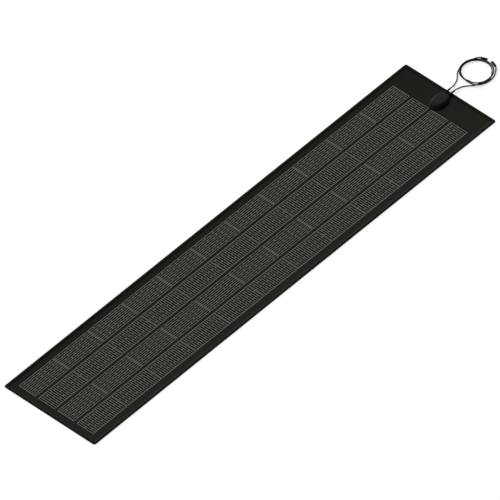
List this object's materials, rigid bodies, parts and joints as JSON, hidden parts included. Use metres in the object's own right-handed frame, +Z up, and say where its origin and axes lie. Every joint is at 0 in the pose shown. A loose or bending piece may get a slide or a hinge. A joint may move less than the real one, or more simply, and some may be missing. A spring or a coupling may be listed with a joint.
{
  "type": "flexible solar sheet",
  "caption": "Long thin flexible photovoltaic laminate with four strings of gridded cells, a raised sealed rim, a low junction box at one end and two leads wound in one coil.",
  "frame": {"origin": "middle of the sheet's underside, without the boots, leads and connectors", "axes": "+Y along the sheet towards the junction box, +X across it, +Z up from the light-facing side"},
  "size_m": [0.494, 2.7057, 0.02],
  "materials": {
    "front_sheet": "finely textured clear film over a near-black laminate",
    "back_sheet": "matt black polymer",
    "edge_seal": "black sealing compound",
    "cell": "near-black cell with a dull pale grid",
    "ribbon": "tinned copper ribbon",
    "box": "satin moulded plastic",
    "pad": "adhesive foam",
    "gasket": "soft seal",
    "terminal": "plated strip",
    "diode": "moulded package",
    "lead": "black cable jacket",
    "boot": "black moulded rubber",
    "connector": "black moulded plastic",
    "contact": "plated pin"
  },
  "bodies": {
    "junction_section": {"back_sheet_junction": "back_sheet", "front_sheet_junction": "front_sheet", "edge_seal_left_junction": "edge_seal", "edge_seal_right_junction": "edge_seal", "cell_string_1_junction": "cell", "cell_string_2_junction": "cell", "cell_string_3_junction": "cell", "cell_string_4_junction": "cell", "edge_seal_far": "edge_seal", "string_link_far": "ribbon", "output_ribbon_positive": "ribbon", "terminal_positive": "terminal", "boot_positive": "boot", "lead_positive": "lead", "output_ribbon_negative": "ribbon", "terminal_negative": "terminal", "boot_negative": "boot", "lead_negative": "lead", "adhesive_pad": "pad", "junction_box_base": "box", "junction_box_gasket": "gasket", "bypass_diode": "diode", "lead_coil": "lead", "plug_body": "connector", "plug_contact": "contact", "socket_body": "connector", "socket_contact": "contact"},
    "upper_section": {"back_sheet_upper": "back_sheet", "front_sheet_upper": "front_sheet", "edge_seal_left_upper": "edge_seal", "edge_seal_right_upper": "edge_seal", "cell_string_1_upper": "cell", "cell_string_2_upper": "cell", "cell_string_3_upper": "cell", "cell_string_4_upper": "cell"},
    "lower_section": {"back_sheet_lower": "back_sheet", "front_sheet_lower": "front_sheet", "edge_seal_left_lower": "edge_seal", "edge_seal_right_lower": "edge_seal", "cell_string_1_lower": "cell", "cell_string_2_lower": "cell", "cell_string_3_lower": "cell", "cell_string_4_lower": "cell"},
    "end_section": {"back_sheet_end": "back_sheet", "front_sheet_end": "front_sheet", "edge_seal_left_end": "edge_seal", "edge_seal_right_end": "edge_seal", "cell_string_1_end": "cell", "cell_string_2_end": "cell", "cell_string_3_end": "cell", "cell_string_4_end": "cell", "edge_seal_near": "edge_seal", "string_link_near_left": "ribbon", "string_link_near_right": "ribbon"},
    "plug_gland_nut": {"plug_gland_nut": "connector"},
    "socket_gland_nut": {"socket_gland_nut": "connector"},
    "junction_box_lid": {"junction_box_lid": "box"}
  },
  "joints": [
    {"name": "bend_upper", "type": "hinge", "parent": "junction_section", "child": "upper_section", "pos_m": [0, 0.68525, 0.0015], "axis": [-1, 0, 0], "range_deg": [-30, 30], "stiffness_Nm_per_rad": 3},
    {"name": "bend_lower", "type": "hinge", "parent": "upper_section", "child": "lower_section", "pos_m": [0, 0.0605, 0.0015], "axis": [-1, 0, 0], "range_deg": [-30, 30], "stiffness_Nm_per_rad": 3},
    {"name": "bend_end", "type": "hinge", "parent": "lower_section", "child": "end_section", "pos_m": [0, -0.56425, 0.0015], "axis": [-1, 0, 0], "range_deg": [-30, 30], "stiffness_Nm_per_rad": 3},
    {"name": "lid_lift", "type": "slide", "parent": "junction_section", "child": "junction_box_lid", "axis": [0, 0, 1], "range_m": [0, 0.03]},
    {"name": "plug_nut_turn", "type": "hinge", "parent": "junction_section", "child": "plug_gland_nut", "pos_m": [-0.04116, 1.46025, 0.0043], "axis": [0.9367, 0.3502, 0], "range_deg": [0, 540]},
    {"name": "socket_nut_turn", "type": "hinge", "parent": "junction_section", "child": "socket_gland_nut", "pos_m": [0.03872, 1.46145, 0.0055], "axis": [-0.9483, 0.3173, 0], "range_deg": [0, 540]}
  ]
}
